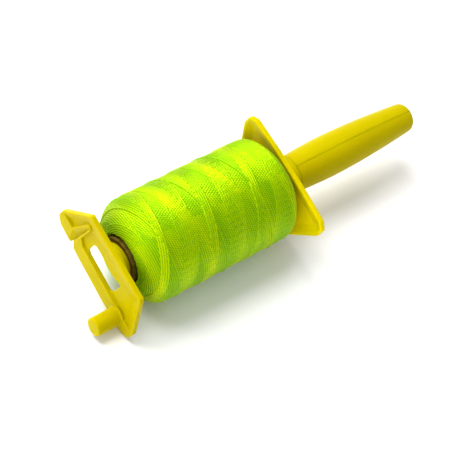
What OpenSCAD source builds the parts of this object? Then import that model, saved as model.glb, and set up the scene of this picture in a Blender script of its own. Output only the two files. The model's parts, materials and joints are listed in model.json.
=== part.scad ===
// Hand reel for braided line: a refill wound on a cardboard core, held between
// two moulded plates on a hollow spindle, turning on an axle in a hollow handle.
// The reel lies on its wound line and on one corner of its front plate.
// +X runs along the spool axis towards the handle, +Z is up.

/* [Refill] */
// Outer radius of the wound line
pack_r = 40.25; // [38:0.25:41]
// Length of the wound line along the core
pack_len = 138.8; // [120:0.2:139]
// Length of the rounded shoulder at the front end of the wound line
shoulder_len = 17; // [12:1:22]
// Length of the rounded shoulder at the end next to the handle
rear_shoulder_len = 12; // [10:1:20]
// Outer radius of the cardboard core
core_r = 17.5; // [17:0.25:18]
// How far the core sticks out in front of the wound line
core_front = 1.2; // [0.8:0.1:1.6]

/* [Spindle] */
// Outer radius of the hollow spindle
spindle_r = 14; // [13.5:0.1:14.2]
// Inner radius of the hollow spindle
spindle_bore = 12; // [11:0.1:12.5]

/* [Plates] */
// Distance from the axis to the middle of a plate's long side
long_side = 26.8; // [26:0.2:28]
// Distance from the axis to the middle of a plate's short side
short_side = 23; // [21:0.2:24]
// How far the short side's two ends stand off its middle, to one side and the other
short_lean = 1.8; // [0:0.1:2]
// Half of the longest stretch of a plate
plate_half = 49.6; // [48:0.2:51]
// Half of the straight stretch of the short side
short_half = 33.5; // [31:0.5:34]
// Thickness of a plate from its rim to its back
plate_depth = 3.9; // [3.6:0.1:4.2]
// Depth of the dished face below the rim
dish_depth = 2.5; // [2:0.1:2.6]
// Distance from the axis to the inner wall of the front plate's band
band_wall = 12.5; // [12:0.1:14]

/* [Crank peg] */
// Radius of the crank peg
peg_r = 7; // [5:0.1:8]
// Length of the crank peg in front of the rim
peg_len = 19.5; // [12:0.5:24]

/* [Handle] */
// Length of the handle
handle_len = 118; // [112:0.5:125]
// Radius of the handle at its thickest place
handle_r = 15.7; // [15:0.1:17]
// Radius of the handle at its front end
handle_base_r = 14.3; // [13.5:0.1:15]
// Radius of the handle next to its rounded tip
handle_tip_r = 11.6; // [10.5:0.1:12.5]
// Wall thickness of the handle shells
handle_wall = 2.4; // [2:0.1:3]
// Radius of the steel axle
axle_r = 3.2; // [2.5:0.1:3.5]

/* [Hidden] */
$fn = 96;
cut = 1;
plastic = [0.87, 0.79, 0.02];
steel = [0.72, 0.73, 0.75];
nylon = [0.93, 0.92, 0.86];

// Places along the spool axis, from the front edge of the wound line.
rim_a = -14;
floor_a = rim_a + dish_depth;
back_a = rim_a + plate_depth;
boss_a = -6;
spindle_a = -3;
peg_tip_a = rim_a - peg_len;
rear_rim_a = pack_len + 0.9;
rear_floor_a = rear_rim_a + dish_depth;
rear_back_a = rear_rim_a + plate_depth;
collar_a = rear_back_a + 11.9;
washer_t = 0.8;
handle_a = collar_a + washer_t + 0.1;
handle_end_a = handle_a + handle_len;

// Fits.
running = 0.06;
seat = 0.03;

// Plates.
boss_r = 19;
rim_w = 2.2;
corner_r = 3;
dish_r = 1.2;
arc_steps = 6;
slot_edge = 2.1;
slot_foot = 4.6;
slot_half = 17;
slot_r = 4;
peg_q = -19.2;
peg_p = 32;
peg_root = 1.6;
notch_p = -28;
notch_mouth = 6.8;
notch_throat_q = -20.4;
notch_end_q = 9;
notch_slit = 0.7;
notch_web = 0.6;
notch_ramp = [[-28.8, notch_p - 2], [-13.2, notch_p - 7], [9.8, notch_p - 1.4]];
notch_ramp_run = 6.4;
notch_ramp_drop = 3;
rear_turn = 174.5;
rear_shift = 2;
plug_len = 14;
plug_wall = 2.5;
collar_r = 14.2;

// Core, spindle and axle.
core_wall = core_r - spindle_r - 0.4;
mouth_r = core_r + 2.4;
mouth_depth = 3.2;
shoulder_steps = 16;
core_rear_a = rear_rim_a - 0.2;
spigot_a = rear_floor_a - 22;
axle_head_r = 6.5;
axle_head_t = 3;

// Bearings inside the handle.
bush_r = 7;
bush_len = 8;
front_bush_a = handle_a + 3;
rear_bush_a = handle_a + 60;
clip_gap = 0.15;
end_washer_r = 5.5;
end_washer_a = rear_bush_a + bush_len + clip_gap;
clip_a = end_washer_a + washer_t + clip_gap;
clip_t = 1.2;
axle_end_a = clip_a + clip_t + 3;
seam_turn = -8;
end_wall = 1.6;
seat_lip = 1.2;

function unit(v) = v / norm(v);
function normal_in(a, b) = unit([a[1] - b[1], b[0] - a[0]]);

// A corner of an outline, moved in from its two edges by d1 and d2.
function inset_corner(a, b, c, d1, d2) =
    let (n1 = normal_in(a, b), n2 = normal_in(b, c), k = n1 * n2)
    b + n1 * (d1 - k * d2) / (1 - k * k) + n2 * (d2 - k * d1) / (1 - k * k);
function inset(pts, d) =
    let (n = len(pts))
    [for (i = [0 : n - 1]) inset_corner(pts[(i + n - 1) % n], pts[i],
        pts[(i + 1) % n], d[(i + n - 1) % n], d[i])];

// An outline's corners rounded to radius r, with the same count of points each.
function corner_arc(a, b, c, r) =
    let (u1 = unit(a - b), u2 = unit(c - b), h = acos(u1 * u2) / 2,
        m = b + unit(u1 + u2) * r / sin(h), s = b + u1 * r / tan(h) - m,
        start = atan2(s[1], s[0]))
    [for (i = [0 : arc_steps])
        let (t = start + (180 - 2 * h) * i / arc_steps) m + r * [cos(t), sin(t)]];
function rounded(pts, r) =
    let (n = len(pts))
    [for (i = [0 : n - 1]) each corner_arc(pts[(i + n - 1) % n], pts[i],
        pts[(i + 1) % n], r)];
function same(v, n) = [for (i = [1 : n]) v];

// A plate's outline in (q, p): q runs across the plate and p along it.
plate_side = [[12, plate_half], [20.2, plate_half - 0.2], [25.2, plate_half - 6],
    [long_side, 15]];
plate_corners = concat([for (i = [0 : 3]) [-plate_side[i][0], plate_side[i][1]]],
    [for (i = [3 : -1 : 0]) -plate_side[i]],
    [[short_side - short_lean, -short_half], [short_side + short_lean, short_half]]);

// The front plate's dish at its rim, beside the band.
dish_end = plate_half - 2.2;
dish_corners = [[-band_wall, dish_end], [-band_wall, -dish_end], [-10.6, -dish_end],
    [short_side - short_lean - rim_w, 1.2 - short_half],
    [short_side + short_lean - rim_w, short_half - 1.2], [-10.6, dish_end]];
dish_slope = [0, 5, 6, 11, 6, 5];
rear_slope = [5, 6, 8, 9, 8, 6, 5, 6, 9, 6];

// How far an outline reaches in the direction t, from +p towards +q.
function reach(pts, t) = max([for (v = pts) v[1] * cos(t) + v[0] * sin(t)]);

// The direction in which the front plate reaches exactly as far as the line.
function level(pts, far, near, n) =
    let (mid = (far + near) / 2)
    n == 0 ? mid : reach(pts, mid) > pack_r ? level(pts, far, mid, n - 1)
        : level(pts, mid, near, n - 1);
down_t = level(rounded(plate_corners, corner_r), -80, -40, 30);

// From the spool's own frame, axis up, to the way the reel lies.
module place() {
    translate([-(peg_tip_a + handle_end_a) / 2, 0, pack_r])
        rotate([down_t - 90, 0, 0])
            rotate([0, 90, 0])
                    children();
}

// A plate's body between its rim and its back.
module plate_blank() {
    linear_extrude(plate_depth)
        polygon(rounded(plate_corners, corner_r));
}

// The space above a plane that starts at the edge from a to b and drops by depth over
// the distance run, measured square to the edge.
module above_slope(a, b, run, depth) {
    big = 3 * plate_half;
    translate([a[0], a[1], 0])
        rotate([0, 0, atan2(b[1] - a[1], b[0] - a[0])])
            rotate([atan2(depth, run), 0, 0])
                translate([-big, -big, -big])
                    cube([2 * big, 2 * big, big]);
}

// The hollow of a dished face: an outline at the rim, sloping in along its edges.
module dish(corners, slope) {
    n = len(corners);
    intersection() {
        translate([0, 0, -cut])
            linear_extrude(dish_depth + cut)
                polygon(rounded(corners, dish_r));
        intersection_for(i = [0 : n - 1])
            above_slope(corners[i], corners[(i + 1) % n], slope[i], dish_depth);
    }
}

module tube(outer, inner, from, to) {
    translate([0, 0, from])
        difference() {
            cylinder(r = outer, h = to - from);
            translate([0, 0, -cut])
                cylinder(r = inner, h = to - from + 2 * cut);
        }
}

module rod(r, from, to) {
    translate([0, 0, from])
        cylinder(r = r, h = to - from);
}

// The slot in the front plate: a rounded opening with a wider foot.
module slot_cut(depth) {
    foot_p = slot_half - 7.5;
    linear_extrude(depth)
        polygon(rounded([[-band_wall, slot_half], [-band_wall, -slot_half],
            [slot_edge, -slot_half], [slot_edge, slot_half]], slot_r));
    linear_extrude(depth)
        polygon(rounded([[-slot_r, foot_p], [slot_edge, foot_p], [slot_foot, foot_p + 4],
            [slot_foot, slot_half], [-slot_r, slot_half]], 1.6));
}

// The cut of the notch: a wide mouth, then a slit that grips the line, over a thin web.
module notch_outline() {
    polygon([[-long_side - cut, notch_p + notch_mouth - 2.2],
        [-long_side - cut, notch_p - 1.2], [notch_throat_q, notch_p - 0.9],
        [notch_end_q, notch_p + 0.2], [notch_end_q, notch_p + 0.2 + notch_slit],
        [notch_throat_q, notch_p - 0.9 + notch_slit]]);
}

// The notch's sloping side: a hollow that deepens towards the slit.
module notch_hollow() {
    depth = notch_ramp_drop * 1.3;
    translate([0, 0, rim_a])
        intersection() {
            translate([0, 0, -cut])
                linear_extrude(notch_ramp_drop + cut)
                    polygon(concat(notch_ramp, [[notch_end_q, notch_p + 0.6],
                        [notch_throat_q, notch_p - 0.6], [-28.8, notch_p - 1.8]]));
            above_slope(notch_ramp[0], notch_ramp[1], notch_ramp_run, depth);
            above_slope(notch_ramp[1], notch_ramp[2], notch_ramp_run, depth);
        }
}

// The raised sides of the notch, inside the dish.
module cleat_outline() {
    polygon([[-band_wall - cut, notch_p - 8.4], [9.4, notch_p - 3], [11.6, notch_p - 1.4],
        [11.6, notch_p + 0.8], [9.4, notch_p + 2.2], [-8.3, notch_p + 2.2],
        [-band_wall - cut, notch_p + 8]]);
}

// A round peg with an eased tip and a flared root, tip down.
module crank_peg() {
    tip_r = 1.4;
    rotate_extrude()
        polygon(concat([[0, 0]],
            [for (t = [0 : 15 : 90]) [peg_r - tip_r + tip_r * sin(t), tip_r - tip_r * cos(t)]],
            [for (t = [0 : 15 : 90]) [peg_r + peg_root - peg_root * cos(t),
                peg_len - peg_root + peg_root * sin(t)]],
            [[peg_r + peg_root, peg_len + cut], [0, peg_len + cut]]));
}

// A disc with its outer side cut away beside the slot, so that the slot stays open.
module half_disc(r, from, to) {
    difference() {
        rod(r, from, to);
        translate([slot_edge - 2 * r, -r - cut, from - cut])
            cube([2 * r, 2 * r + 2 * cut, to - from + 2 * cut]);
    }
}

module front_plate() {
    plug_a = spindle_a - 1.5;
    color(plastic)
        place()
            difference() {
                union() {
                    translate([0, 0, rim_a])
                        difference() {
                            plate_blank();
                            dish(dish_corners, dish_slope);
                        }
                    translate([0, 0, rim_a + 0.2])
                        linear_extrude(plate_depth - 0.4)
                            cleat_outline();
                    translate([peg_q, peg_p, peg_tip_a])
                        crank_peg();
                    half_disc(boss_r, back_a - 1, boss_a);
                    half_disc(spindle_r, boss_a - 1, spindle_a);
                    rod(spindle_bore - seat, plug_a, spindle_a + plug_len);
                }
                translate([0, 0, rim_a - cut])
                    linear_extrude(cut + plate_depth - notch_web)
                        notch_outline();
                notch_hollow();
                translate([0, 0, rim_a - cut])
                    slot_cut(plug_a - rim_a + cut);
                rod(spindle_bore - plug_wall, spindle_a + 1, spindle_a + plug_len + cut);
                band_pockets();
            }
}

// Hollows behind the band, between its stiffening ribs.
module band_pockets() {
    count = 4;
    pitch = 10;
    for (i = [0 : count - 1])
        translate([2.6 - long_side, (i - count / 2) * pitch + 3, back_a - 2])
            cube([long_side - band_wall - 5, pitch - 1.6, 2 + cut]);
}

module rear_plate() {
    color(plastic)
        place()
            difference() {
                union() {
                    rotate([0, 0, rear_turn])
                        translate([0, -rear_shift, rear_rim_a])
                            difference() {
                                plate_blank();
                                dish(inset(plate_corners, same(rim_w, 10)), rear_slope);
                            }
                    rod(collar_r, rear_back_a - 1, collar_a);
                    rod(spindle_r + 2.5, rear_rim_a + 0.4, rear_floor_a + 1);
                    translate([spindle_r, -0.8, rear_rim_a + 0.3])
                        cube([long_side - spindle_r - 1.5, 1.6, dish_depth]);
                    rod(spindle_bore - seat, spigot_a, rear_floor_a + 1);
                }
                rod(axle_r + seat, spigot_a - cut, collar_a + cut);
                tube(spindle_bore - 2.5, 6, spigot_a - cut, spigot_a + 14);
            }
}

module spindle() {
    color(plastic)
        place() {
            tube(spindle_r, spindle_bore, spindle_a, rear_rim_a + 0.4);
            for (t = [45 : 90 : 315])
                rotate([0, 0, t])
                    translate([spindle_r - 0.6, -1, 10])
                        cube([0.9, 2, core_rear_a - 20]);
        }
}

module core_tube() {
    color([0.5, 0.38, 0.22])
        place()
            tube(core_r, core_r - core_wall, -core_front, core_rear_a);
}

// Half of the wound line's outline, from the core to the full radius.
function shoulder(run) = [for (i = [0 : shoulder_steps])
    let (x = i / shoulder_steps) [mouth_r + (pack_r - mouth_r) * x,
        run * (1 - pow(1 - pow(x, 1.5), 2 / 3))]];

module line_pack() {
    front = shoulder(shoulder_len);
    back = shoulder(rear_shoulder_len);
    rear = [for (i = [shoulder_steps : -1 : 0]) [back[i][0], pack_len - back[i][1]]];
    color([0.75, 0.95, 0.1])
        place()
            rotate_extrude()
                polygon(concat([[core_r, mouth_depth]], front, rear,
                    [[core_r, pack_len - mouth_depth]]));
}

module axle() {
    color(steel)
        place()
            difference() {
                union() {
                    rod(axle_r, spigot_a - axle_head_t, axle_end_a);
                    rod(axle_head_r, spigot_a - axle_head_t, spigot_a);
                }
                tube(axle_r + 1, axle_r - 0.6, clip_a, clip_a + clip_t);
            }
}

module thrust_washer() {
    color(plastic)
        place()
            tube(collar_r - 0.2, axle_r + 0.2, collar_a, collar_a + washer_t);
}

// The handle's outer radius at a share t of its length.
function grip_r(t) = t < 0.33 ? handle_base_r + (handle_r - handle_base_r) * sin(90 * t / 0.33)
    : handle_r - (handle_r - handle_tip_r) * pow((t - 0.33) / 0.67, 1.7);

// The handle's outline, less w all round: from its front end to its rounded tip.
function grip_outline(w) =
    let (steps = 24, round_r = 5, body = handle_len - round_r)
    concat([for (i = [0 : steps]) [grip_r(i / steps) - w, body * i / steps]],
        [for (t = [15 : 15 : 90]) [grip_r(1) - round_r + (round_r - w) * cos(t),
            body + (round_r - w) * sin(t)]]);

// Half a turn of a profile, the half that seats on the seam plane.
module half_turn(turn) {
    rotate([0, 0, turn])
        rotate_extrude(angle = 180)
            children();
}

// The room inside the handle: the outline less the wall, between its two end walls.
function grip_room() =
    concat([[0, end_wall], [handle_base_r - handle_wall, end_wall]],
        [for (v = grip_outline(handle_wall)) if (v[1] > end_wall) v],
        [[0, handle_len - handle_wall]]);

module handle_shell(turn) {
    color(plastic)
        place()
            translate([0, 0, handle_a])
                union() {
                    half_turn(turn)
                        difference() {
                            polygon(concat([[0, 0]], grip_outline(0), [[0, handle_len]]));
                            polygon(grip_room());
                            square([axle_r + 0.5, end_wall + cut]);
                        }
                    for (a = [front_bush_a, rear_bush_a])
                        half_turn(turn)
                            bush_seat(a - handle_a);
                }
}

// The ring of plastic that holds a bush, between two small shoulders.
module bush_seat(from) {
    outer = handle_base_r - 1;
    difference() {
        translate([bush_r - seat_lip, from - seat_lip])
            square([outer - bush_r + seat_lip, bush_len + 2 * seat_lip]);
        translate([0, from])
            square([bush_r + seat, bush_len]);
    }
}

module handle_shell_upper() {
    handle_shell(seam_turn);
}

module handle_shell_lower() {
    handle_shell(seam_turn + 180);
}

module bush(from) {
    color(nylon)
        place()
            tube(bush_r, axle_r + running, from, from + bush_len);
}

module front_bush() {
    bush(front_bush_a);
}

module rear_bush() {
    bush(rear_bush_a);
}

module end_washer() {
    color(steel)
        place()
            tube(end_washer_r, axle_r + 0.15, end_washer_a, end_washer_a + washer_t);
}

module retaining_ring() {
    color(steel)
        place()
            difference() {
                tube(end_washer_r - 0.2, axle_r - 0.55, clip_a + 0.05, clip_a + clip_t - 0.05);
                translate([0, -1.9, clip_a - cut])
                    cube([bush_r, 3.8, clip_t + 2 * cut]);
            }
}

front_plate();
rear_plate();
spindle();
core_tube();
line_pack();
axle();
thrust_washer();
handle_shell_upper();
handle_shell_lower();
front_bush();
rear_bush();
end_washer();
retaining_ring();
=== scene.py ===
"""The looks of the hand line reel: moulded yellow plates and handle, wound braided line, and a
cardboard core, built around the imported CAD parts. All lengths are in metres."""
import json
import math

import bpy
import numpy as np
from mathutils import Matrix, Vector


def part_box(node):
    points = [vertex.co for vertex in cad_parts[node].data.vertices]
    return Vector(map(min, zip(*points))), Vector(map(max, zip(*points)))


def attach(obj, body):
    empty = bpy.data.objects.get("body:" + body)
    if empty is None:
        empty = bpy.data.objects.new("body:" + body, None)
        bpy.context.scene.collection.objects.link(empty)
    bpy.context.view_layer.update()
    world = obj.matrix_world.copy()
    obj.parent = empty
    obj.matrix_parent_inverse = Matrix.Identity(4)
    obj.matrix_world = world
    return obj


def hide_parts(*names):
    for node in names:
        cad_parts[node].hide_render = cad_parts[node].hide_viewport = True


MM = 0.001

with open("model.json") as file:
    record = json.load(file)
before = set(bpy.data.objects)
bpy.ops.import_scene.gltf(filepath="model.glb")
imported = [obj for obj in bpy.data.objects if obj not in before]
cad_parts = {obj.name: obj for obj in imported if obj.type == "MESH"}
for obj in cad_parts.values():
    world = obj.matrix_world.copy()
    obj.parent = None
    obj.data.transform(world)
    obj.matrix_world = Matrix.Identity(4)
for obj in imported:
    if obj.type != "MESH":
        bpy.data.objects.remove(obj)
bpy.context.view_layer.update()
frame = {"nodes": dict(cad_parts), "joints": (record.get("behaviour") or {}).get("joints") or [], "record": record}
record = frame["record"]

# The spool's own frame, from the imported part: a runs along its axis from the front edge of
# the wound line, q across the plates and p along them. The crank peg stands at this q and p.
PEG_Q, PEG_P = -19.2 * MM, 32 * MM


def mount(name):
    return next(m for m in record["mounts"] if m["name"] == name)


def spool_matrix():
    """From (a, q, p) to the row frame. The crank peg's place gives the turn about the axis."""
    axis = Vector(frame["joints"][0]["pos_m"])
    peg = Vector(mount("crank_peg")["pos_m"])
    turn = math.atan2(peg.z - axis.z, peg.y - axis.y) - math.atan2(-PEG_Q, PEG_P)
    c, s = math.cos(turn), math.sin(turn)
    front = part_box("line_pack")[0][0]
    return Matrix(((1, 0, 0, front), (0, s, c, axis.y), (0, -c, s, axis.z), (0, 0, 0, 1)))


SPOOL = spool_matrix()
low, high = (Vector(v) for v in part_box("line_pack"))
PACK_LEN = high.x - low.x
PACK_R = (high.z - low.z) / 2
core_low, core_high = (Vector(v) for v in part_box("core_tube"))
CORE_R = (core_high.z - core_low.z) / 2


# ---------------------------------------------------------------- material tools

class Nodes:
    """A material's node tree, built in a few short calls."""

    def __init__(self, name):
        self.mat = bpy.data.materials.new(name)
        self.mat.use_nodes = True
        self.tree = self.mat.node_tree
        self.shader = self.tree.nodes["Principled BSDF"]
        self.coords = self.add("ShaderNodeTexCoord").outputs["Object"]

    def add(self, kind, inputs=None, **settings):
        node = self.tree.nodes.new(kind)
        for key, value in settings.items():
            setattr(node, key, value)
        for key, value in (inputs or {}).items():
            self.put(value, node.inputs[key])
        return node

    def put(self, value, socket):
        if isinstance(value, bpy.types.NodeSocket):
            self.tree.links.new(value, socket)
        else:
            socket.default_value = value

    def noise(self, scale, detail=3.0, rough=0.5, stretch=(1, 1, 1)):
        place = self.add("ShaderNodeMapping", {"Vector": self.coords, "Scale": stretch})
        return self.add("ShaderNodeTexNoise", {
            "Vector": place.outputs[0], "Scale": scale, "Detail": detail, "Roughness": rough,
        }).outputs["Fac"]

    def ramp(self, fac, stops):
        node = self.add("ShaderNodeValToRGB", {"Fac": fac})
        marks = node.color_ramp.elements
        while len(marks) < len(stops):
            marks.new(0.5)
        for mark, (at, colour) in zip(marks, stops):
            mark.position = at
            mark.color = (*colour, 1)
        return node.outputs["Color"]

    def remap(self, fac, low_out, high_out):
        return self.add("ShaderNodeMapRange", {
            "Value": fac, "To Min": low_out, "To Max": high_out,
        }).outputs["Result"]

    def bump(self, height, strength, distance):
        node = self.add("ShaderNodeBump", {
            "Height": height, "Strength": strength, "Distance": distance,
        })
        self.put(node.outputs["Normal"], self.shader.inputs["Normal"])

    def set(self, **sockets):
        for key, value in sockets.items():
            self.put(value, self.shader.inputs[key.replace("_", " ")])


def yellow_plastic():
    """Satin moulded plastic: faint flow marks, a fine grain and slightly uneven gloss."""
    n = Nodes("yellow_plastic")
    colour = n.ramp(n.noise(38, 4, 0.55, (0.35, 1, 1)), (
        (0.30, (0.425, 0.345, 0.0)),
        (0.70, (0.475, 0.395, 0.0)),
    ))
    n.set(Base_Color=colour, Roughness=n.remap(n.noise(210, 3), 0.30, 0.44),
          Specular_IOR_Level=0.03, Specular_Tint=(1.0, 0.93, 0.25, 1),
          Subsurface_Weight=0.45, Subsurface_Scale=0.006,
          Subsurface_Radius=(1.0, 0.75, 0.1))
    n.bump(n.noise(900, 2), 0.06, 0.0002)
    return n.mat


def braided_line():
    """Bright braided nylon with fine filaments. Its strand tint carries painted shade between the stitches, a
    painted highlight on their crests and a painted sheen that differs from layer to layer.
    """
    n = Nodes("braided_line")
    tone_and_painted_shade = n.add("ShaderNodeAttribute", attribute_name="strand_tone_and_painted_shade").outputs["Fac"]
    # The ramp runs from painted shade between the stitches up to a painted yellow highlight on their crests.
    colour = n.ramp(tone_and_painted_shade, (
        (0.0, (0.08, 0.18, 0.0)),
        (0.35, (0.145, 0.345, 0.0)),
        (0.62, (0.28, 0.53, 0.0)),
        (0.90, (0.82, 0.80, 0.0)),
    ))
    n.set(Base_Color=colour, Roughness=n.remap(n.noise(1500, 2), 0.32, 0.46),
          Metallic=0.5, Specular_IOR_Level=0.05)
    n.bump(n.noise(2600, 2), 0.25, 0.0001)
    return n.mat


def cardboard():
    """Spiral-wound kraft paper with fibres along the plies. Its colours are much darker than kraft paper's own, a
    painted shade for its place deep inside the winding.
    """
    n = Nodes("cardboard_core")
    fibres = n.noise(420, 5, 0.65, (0.3, 1, 1))
    # Dark browns: painted shade of the core's hollow place inside the winding.
    colour = n.ramp(fibres, (
        (0.25, (0.045, 0.026, 0.002)),
        (0.55, (0.105, 0.070, 0.007)),
        (0.80, (0.19, 0.14, 0.015)),
    ))
    n.set(Base_Color=colour, Roughness=0.9, Specular_IOR_Level=0.08)
    n.bump(fibres, 0.5, 0.0003)
    return n.mat


def steel():
    """Zinc-plated steel with turned marks."""
    n = Nodes("steel")
    marks = n.noise(700, 3, 0.6, (6, 1, 1))
    n.set(Base_Color=n.ramp(marks, ((0.3, (0.50, 0.51, 0.53)), (0.7, (0.66, 0.67, 0.69)))),
          Metallic=1.0, Roughness=n.remap(marks, 0.25, 0.42))
    n.bump(marks, 0.15, 0.0001)
    return n.mat


def nylon():
    """Natural nylon with a soft, slightly mottled surface."""
    n = Nodes("nylon")
    cloud = n.noise(160, 4)
    n.set(Base_Color=n.ramp(cloud, ((0.3, (0.78, 0.76, 0.66)), (0.7, (0.86, 0.84, 0.76)))),
          Roughness=n.remap(cloud, 0.38, 0.55), Subsurface_Weight=0.1,
          Subsurface_Scale=0.001)
    n.bump(n.noise(800, 2), 0.08, 0.0001)
    return n.mat


PLASTIC = yellow_plastic()
LINE = braided_line()
CARD = cardboard()
STEEL = steel()
NYLON = nylon()


# ---------------------------------------------------------------- mesh tools

# Voxel size and smoothing rounds that ease the edges of the plates and of the handle's shells.
PLATE_EASE = (0.36 * MM, 5)
SHELL_EASE = (0.4 * MM, 1)
# The handle's seam: its turn about the axis in degrees, the ridge's own radius, how much of
# that radius lies inside the handle, and the radius on the handle's end where the ridge stops.
SEAM_TURN = -8.0
RIDGE_R = 0.45 * MM
RIDGE_SUNK = 0.45
RIDGE_FROM = 9.5 * MM


def dress(obj, material, body):
    """Puts an object in the scene with its material and its body."""
    bpy.context.scene.collection.objects.link(obj)
    obj.data.materials.clear()
    obj.data.materials.append(material)
    obj.data.polygons.foreach_set("use_smooth", [True] * len(obj.data.polygons))
    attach(obj, body)
    return obj


def apply_modifiers(obj):
    bpy.context.view_layer.update()
    graph = bpy.context.evaluated_depsgraph_get()
    mesh = bpy.data.meshes.new_from_object(obj.evaluated_get(graph))
    obj.modifiers.clear()
    obj.data = mesh
    mesh.polygons.foreach_set("use_smooth", [True] * len(mesh.polygons))


def moulded(node, name, body, ease):
    """A CAD part as it comes out of a mould: the same shape with its edges eased."""
    voxel, rounds = ease
    obj = bpy.data.objects.new(name, frame["nodes"][node].data.copy())
    dress(obj, PLASTIC, body)
    weld = obj.modifiers.new("weld", "WELD")
    weld.merge_threshold = 1e-6
    remesh = obj.modifiers.new("remesh", "REMESH")
    remesh.mode = "VOXEL"
    remesh.voxel_size = voxel
    remesh.use_smooth_shade = True
    smooth = obj.modifiers.new("ease", "SMOOTH")
    smooth.factor = 0.5
    smooth.iterations = rounds
    apply_modifiers(obj)
    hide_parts(node)
    return obj


def upper_outline(points):
    """The outer, outward curving outline of (a, r) points."""
    track = []
    for a, r in sorted(points):
        while len(track) > 1 and ((track[-1][0] - track[-2][0]) * (r - track[-2][1])
                                  >= (track[-1][1] - track[-2][1]) * (a - track[-2][0])):
            track.pop()
        track.append((a, r))
    return [point for point in track if point[1] > RIDGE_FROM]


def parting_ridge(name, side):
    """The fine ridge that moulding leaves along the seam of the two handle shells."""
    turn_back = SPOOL.inverted()
    track = []
    for v in frame["nodes"]["handle_shell_upper"].data.vertices:
        point = turn_back @ v.co
        track.append((point.x, math.hypot(point.y, point.z)))
    track = upper_outline(track)
    c, s = math.cos(math.radians(SEAM_TURN)) * side, math.sin(math.radians(SEAM_TURN)) * side
    curve = bpy.data.curves.new(name, "CURVE")
    curve.dimensions = "3D"
    curve.bevel_depth = RIDGE_R
    curve.bevel_resolution = 3
    line = curve.splines.new("POLY")
    line.points.add(len(track) - 1)
    for point, (a, r) in zip(line.points, track):
        r -= RIDGE_SUNK * RIDGE_R
        point.co = (*(SPOOL @ Vector((a, r * c, r * s))), 1)
    shape = bpy.data.objects.new(name + "_curve", curve)
    obj = bpy.data.objects.new(name, bpy.data.meshes.new_from_object(shape))
    bpy.data.objects.remove(shape)
    dress(obj, PLASTIC, "handle")


# ---------------------------------------------------------------- wound line

# The strands lie at HELIX to the plates' planes, PITCH_COUNT of them side by side in one lead.
PITCH_COUNT = 25
HELIX = math.radians(9.5)
LEAD = 2 * math.pi * PACK_R * math.tan(HELIX)
PITCH = LEAD * math.cos(HELIX) / PITCH_COUNT
# The braid: its stitches' length, the shift from one strand to the next, the V that the
# stitches form across a strand, and how full a stitch is.
STITCH = 2 * math.pi * PACK_R / 132
STITCH_SHIFT = 0.31
STITCH_SPLIT, STITCH_V = 0.25, 0.8
STITCH_POWER = 0.7
# A strand's height and that of its stitches, in pitches.
STRAND_HEIGHT, STITCH_HEIGHT = 0.26, 0.32
# How much the tint differs at random from strand to strand, and how far it swings over a stitch from painted shade
# between the stitches to a painted highlight on their crests.
TINT_SCATTER, SCATTER_STEP = 0.06, 12.9898
PAINTED_STITCH_SHADE_RANGE, PAINTED_STITCH_SHADE_MIDDLE = 0.52, 0.60
# The winding's outline: how far its ends bow back, how round the bow is, where the outline
# starts outside the core, and how deep its inner edge goes back along the core.
SHOULDER, REAR_SHOULDER = 17 * MM, 12 * MM
BOW = 1.5
MOUTH = 2.4 * MM
RECESS = 3 * MM
BOW_SAMPLES = 400
LINE_STEPS_AROUND = 760
LINE_STEP = 0.27 * MM
# Layers of line, from the lowest: turning sense, the share of a lead where the layer starts
# and stops, and how bright its strands are, a painted sheen for how each layer's strands catch the light.
LAYERS = ((-1, 0.0, 1.0, 0.56), (1, 0.04, 0.40, 0.52), (-1, 0.20, 0.44, 0.59),
          (1, 0.62, 0.80, 0.60), (-1, 0.66, 0.72, 0.55))
LAYER_RISE = 0.17 * MM
# How the strands stray from their lay: size, waves around, phase per metre and first phase.
STRAYS = ((0.25 * MM, 2, 40, 0), (0.2 * MM, 5, -90, 1))


def line_profile():
    """The winding's outline as (a, r) points at an even spacing, with its outward normals."""
    inner = CORE_R + MOUTH
    x = np.linspace(0, 1, BOW_SAMPLES)
    bow = 1 - np.power(1 - np.power(x, BOW), 1 / BOW)
    r = inner + (PACK_R - inner) * x
    rear = PACK_LEN - REAR_SHOULDER * bow
    foot = CORE_R + 0.1 * MM
    a = np.concatenate([[RECESS], SHOULDER * bow, rear[::-1], [PACK_LEN - RECESS]])
    r = np.concatenate([[foot], r, r[::-1], [foot]])
    s = np.concatenate([[0], np.cumsum(np.hypot(np.diff(a), np.diff(r)))])
    even = np.linspace(0, s[-1], int(s[-1] / LINE_STEP))
    a, r = np.interp(even, s, a), np.interp(even, s, r)
    da, dr = np.gradient(a), np.gradient(r)
    size = np.hypot(da, dr)
    return even, a, r, -dr / size, da / size


def strand_relief(s, theta, sense, start, stop, painted_sheen):
    """Height of one layer's strands, how far it covers, and its strands' tint with its painted shade and sheen."""
    across = s * math.cos(HELIX) + sense * PACK_R * theta * math.sin(HELIX)
    run = PACK_R * theta * math.cos(HELIX) - sense * s * math.sin(HELIX)
    index = np.floor(across / PITCH)
    side = across / PITCH - index - 0.5
    place = np.mod(index, PITCH_COUNT) / PITCH_COUNT
    covered = (place >= start) & (place < stop)
    rounding = np.sqrt(np.clip(1 - (2 * side) ** 2, 0, 1))
    stitch = (run / STITCH + STITCH_SHIFT * index + STITCH_SPLIT * np.sign(side)
              + STITCH_V * np.abs(side))
    bead = np.abs(np.sin(math.pi * stitch)) ** STITCH_POWER
    height = PITCH * (STRAND_HEIGHT * rounding + STITCH_HEIGHT * bead * rounding)
    # The tint: the layer's painted sheen, a random tone per strand, and painted shade between the stitches with a
    # painted highlight on their crests.
    tone_and_painted_shade = (painted_sheen + TINT_SCATTER * np.sin(index * SCATTER_STEP + sense)
            + PAINTED_STITCH_SHADE_RANGE * (bead * rounding - PAINTED_STITCH_SHADE_MIDDLE))
    return height, covered, tone_and_painted_shade


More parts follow.
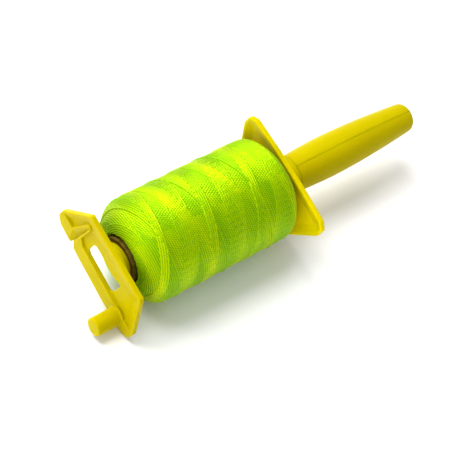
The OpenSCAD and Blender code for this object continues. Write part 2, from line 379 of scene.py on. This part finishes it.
def layered_relief(s, theta):
    """How deep the surface lies below the highest strand, and its tint with the painted shade and sheen."""
    lay = s
    for size, around, along, first in STRAYS:
        lay = lay + size * np.sin(around * theta + along * s + first)
    total = np.zeros_like(s)
    tone_and_painted_shade = np.zeros_like(s)
    for number, (sense, start, stop, painted_sheen) in enumerate(LAYERS):
        height, covered, strand = strand_relief(lay, theta, sense, start, stop, painted_sheen)
        raised = height + number * LAYER_RISE
        wins = covered & (raised > total)
        total = np.where(wins, raised, total)
        tone_and_painted_shade = np.where(wins, strand, tone_and_painted_shade)
    return total - total.max(), tone_and_painted_shade


def tube_mesh(name, verts, rows, cols):
    """A mesh of rows by cols vertices whose columns close into a ring."""
    i, j = np.meshgrid(np.arange(rows - 1), np.arange(cols), indexing="ij")
    k = (j + 1) % cols
    faces = np.stack([i * cols + j, (i + 1) * cols + j, (i + 1) * cols + k, i * cols + k], -1)
    faces = faces.reshape(-1, 4)
    mesh = bpy.data.meshes.new(name)
    mesh.vertices.add(len(verts))
    mesh.vertices.foreach_set("co", verts.ravel())
    mesh.loops.add(faces.size)
    mesh.loops.foreach_set("vertex_index", faces.ravel())
    mesh.polygons.add(len(faces))
    mesh.polygons.foreach_set("loop_start", np.arange(0, faces.size, 4))
    mesh.update(calc_edges=True)
    mesh.validate()
    return mesh


def wound_line():
    """The winding: layers of braid that lie on the CAD part's outline."""
    s, a, r, na, nr = line_profile()
    theta = np.linspace(0, 2 * math.pi, LINE_STEPS_AROUND, endpoint=False)
    S, T = np.meshgrid(s, theta, indexing="ij")
    depth, tone_and_painted_shade = layered_relief(S, T)
    A = a[:, None] + na[:, None] * depth
    R = r[:, None] + nr[:, None] * depth
    points = np.stack([A, R * np.cos(T), R * np.sin(T), np.ones_like(A)], -1).reshape(-1, 4)
    mesh = tube_mesh("wound_line", (points @ np.array(SPOOL).T)[:, :3], *S.shape)
    # Each point's tint, with its painted shade and sheen, goes to the line's material.
    shade = mesh.attributes.new("strand_tone_and_painted_shade", "FLOAT", "POINT")
    shade.data.foreach_set("value", tone_and_painted_shade.ravel())
    obj = dress(bpy.data.objects.new("wound_line", mesh), LINE, "reel")
    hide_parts("line_pack")


# ---------------------------------------------------------------- pieces

moulded("front_plate", "front_plate_skin", "reel", PLATE_EASE)
rear_plate_skin = moulded("rear_plate", "rear_plate_skin", "reel", PLATE_EASE)
moulded("handle_shell_upper", "handle_upper_skin", "handle", SHELL_EASE)
moulded("handle_shell_lower", "handle_lower_skin", "handle", SHELL_EASE)
parting_ridge("seam_ridge_near", 1)
parting_ridge("seam_ridge_far", -1)
wound_line()

for node, material in {
    "spindle": PLASTIC, "core_tube": CARD, "axle": STEEL, "thrust_washer": PLASTIC,
    "front_bush": NYLON, "rear_bush": NYLON, "end_washer": STEEL, "retaining_ring": STEEL,
}.items():
    mesh = frame["nodes"][node].data
    mesh.materials.clear()
    mesh.materials.append(material)


# ---------------------------------------------------------------- stage

FLOOR_SIZE = 8.0
AIM = (0, 0, 0.04)


def floor():
    n = Nodes("floor_paint")
    colour = n.ramp(n.noise(3, 3), ((0.3, (0.93, 0.93, 0.93)), (0.7, (0.95, 0.95, 0.95))))
    n.set(Base_Color=colour, Roughness=0.95, Specular_IOR_Level=0.0)
    h = FLOOR_SIZE / 2
    mesh = bpy.data.meshes.new("floor")
    mesh.from_pydata([(-h, -h, 0), (h, -h, 0), (h, h, 0), (-h, h, 0)], [], [(0, 1, 2, 3)])
    obj = bpy.data.objects.new("floor", mesh)
    bpy.context.scene.collection.objects.link(obj)
    mesh.materials.append(n.mat)


def area_light(name, place, target, size, watts):
    lamp = bpy.data.lights.new(name, "AREA")
    lamp.shape = "DISK"
    lamp.size = size
    lamp.energy = watts
    obj = bpy.data.objects.new(name, lamp)
    obj.location = place
    obj.rotation_euler = (Vector(target) - Vector(place)).to_track_quat("-Z", "Y").to_euler()
    bpy.context.scene.collection.objects.link(obj)
    return obj


def studio():
    world = bpy.data.worlds.new("studio")
    world.use_nodes = True
    background = world.node_tree.nodes["Background"]
    background.inputs["Color"].default_value = (1, 1, 1, 1)
    background.inputs["Strength"].default_value = 0.50
    bpy.context.scene.world = world
    bpy.context.scene.view_settings.view_transform = "Standard"
    area_light("key", (-0.20, 0.62, 1.08), AIM, 1.2, 26)
    area_light("fill", (-1.2, -0.25, 0.40), AIM, 0.9, 5)
    area_light("side", (-0.60, -1.00, 0.50), AIM, 0.9, 1.0)
    # The winding shades the rear plate, so this lamp lights that plate alone.
    accent = area_light("accent", (-0.45, -0.45, 0.40), (0.02, 0, 0.04), 0.4, 4.5)
    lit = bpy.data.collections.new("lit_by_accent")
    lit.objects.link(rear_plate_skin)
    accent.light_linking.receiver_collection = lit


# The camera's place and its forward and up directions in the spool's own frame.
CAMERA_AT = Vector((-564.3, 1113.6, 94.8)) * MM
CAMERA_FORWARD = Vector((0.50405, -0.86127, -0.06435))
CAMERA_UP = Vector((0.39226, 0.29467, -0.87138))
CAMERA_LENS = 144.88


def camera():
    data = bpy.data.cameras.new("camera")
    data.lens = CAMERA_LENS
    data.sensor_width = 36.0
    data.clip_end = 20.0
    obj = bpy.data.objects.new("camera", data)
    bpy.context.scene.collection.objects.link(obj)
    turn = SPOOL.to_3x3()
    back = -(turn @ CAMERA_FORWARD).normalized()
    right = (turn @ CAMERA_UP).cross(back).normalized()
    up = back.cross(right)
    obj.matrix_world = Matrix.Translation(SPOOL @ CAMERA_AT) @ Matrix(
        (right, up, back)).transposed().to_4x4()
    bpy.context.scene.camera = obj


floor()
studio()
camera()
